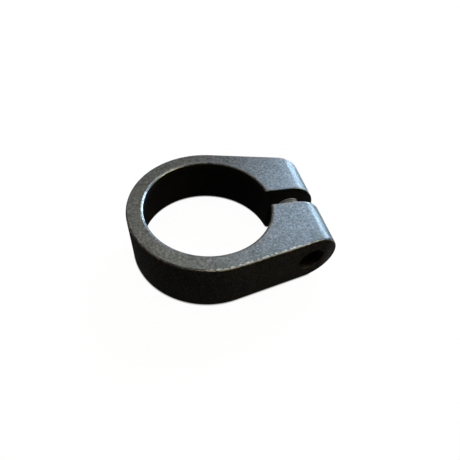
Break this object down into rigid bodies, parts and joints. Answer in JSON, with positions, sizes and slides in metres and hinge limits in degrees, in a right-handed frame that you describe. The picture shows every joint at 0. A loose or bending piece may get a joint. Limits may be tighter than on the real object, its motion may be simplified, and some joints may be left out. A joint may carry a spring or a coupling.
{
  "type": "seatpost clamp",
  "caption": "Split clamping collar with tapered ears and a full-round end, an inner lip, and a recessed socket head bolt with a washer that draws the slit closed on a seat tube.",
  "frame": {"origin": "on the bore axis, in the plane of the bolt axis, half way up the collar", "axes": "+Z along the bore towards the lip, +X from the bore to the slit and the ears, +Y along the bolt towards its head"},
  "size_m": [0.0458, 0.0364, 0.0134],
  "materials": {
    "collar_alloy": "bead-blasted and anodised dark grey, satin, with thin brighter edges",
    "bolt_steel": "zinc plated, satin",
    "washer_steel": "zinc plated, tumbled"
  },
  "bodies": {
    "collar": {"clamp_collar": "collar_alloy"},
    "washer": {"bolt_washer": "washer_steel"},
    "bolt": {"clamp_bolt": "bolt_steel"}
  },
  "joints": [
    {"name": "washer_travel", "type": "slide", "parent": "collar", "child": "washer", "axis": [0, 1, 0], "range_m": [0, 0.0065]},
    {"name": "bolt_turn", "type": "hinge", "parent": "washer", "child": "bolt", "pos_m": [0.0212, 0, 0], "axis": [0, 1, 0], "range_deg": [0, 2340]}
  ],
  "couplings": [
    {"joint": "bolt_turn", "follows": "washer_travel", "rad_per_m": 6283.2}
  ]
}
